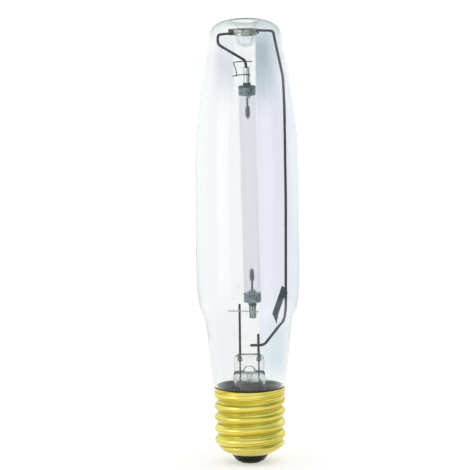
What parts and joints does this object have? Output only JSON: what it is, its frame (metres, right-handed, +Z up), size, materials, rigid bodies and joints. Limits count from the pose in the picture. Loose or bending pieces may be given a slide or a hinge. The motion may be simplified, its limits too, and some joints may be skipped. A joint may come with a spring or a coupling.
{
  "type": "grow lamp",
  "caption": "Clear tubular high-pressure sodium grow lamp with a ceramic arc tube on a bent wire frame, a glass stem and a large brass screw base.",
  "frame": {"origin": "centre of the lamp's lowest face, the underside of the centre contact", "axes": "+Z up the lamp's axis from the base to the dome; +X towards the long side rod of the wire frame; the press of the stem lies flat in the XZ plane"},
  "size_m": [0.0572, 0.0572, 0.2476],
  "materials": {
    "bulb_glass": "clear hard glass",
    "stem_glass": "clear glass",
    "bead_glass": "clear glass",
    "black_glass": "glossy near-black glass",
    "brass_sheet": "bright rolled",
    "brass_contact": "bright",
    "tin_solder": "satin",
    "cement": "dull grey",
    "nickel_wire": "dark satin",
    "bright_wire": "bright",
    "copper_lead": "satin",
    "spring_steel": "heat-tinted",
    "getter_alloy": "matte grey",
    "alumina": "translucent",
    "alumina_plug": "matte",
    "sealing_frit": "fused",
    "niobium_foil": "matte grey",
    "niobium": "satin",
    "tungsten": "dull",
    "niobium_wire": "satin"
  },
  "bodies": {
    "lamp": {"arc_tube": "alumina", "base_insulator": "black_glass", "base_shell": "brass_sheet", "basing_cement": "cement", "centre_contact": "brass_contact", "contact_solder": "tin_solder", "crossbar_wire": "bright_wire", "dimple_clip": "spring_steel", "electrode_coil_lower": "tungsten", "electrode_rod_lower": "tungsten", "end_plug_lower": "alumina_plug", "exhaust_tube": "stem_glass", "flexible_connector": "niobium_wire", "frame_wire": "nickel_wire", "frit_seal_lower": "sealing_frit", "getter_strip": "getter_alloy", "glass_envelope": "bulb_glass", "lead_left": "nickel_wire", "lead_right": "nickel_wire", "niobium_tube_lower": "niobium", "outer_lead_contact": "copper_lead", "outer_lead_shell": "copper_lead", "seal_bead_left": "bead_glass", "seal_bead_right": "bead_glass", "seal_wire_left": "nickel_wire", "seal_wire_right": "nickel_wire", "shield_band_lower": "niobium_foil", "side_solder": "tin_solder", "stem": "stem_glass"},
    "arc_tube_upper_end": {"niobium_tube_upper": "niobium", "end_plug_upper": "alumina_plug", "frit_seal_upper": "sealing_frit", "shield_band_upper": "niobium_foil", "electrode_rod_upper": "tungsten", "electrode_coil_upper": "tungsten", "connector_tail": "niobium_wire"}
  },
  "joints": [
    {"name": "arc_tube_expansion", "type": "slide", "parent": "lamp", "child": "arc_tube_upper_end", "axis": [-0.0133, 0, 0.9999], "range_m": [0, 0.0011], "deforming": ["arc_tube", "flexible_connector"]}
  ]
}
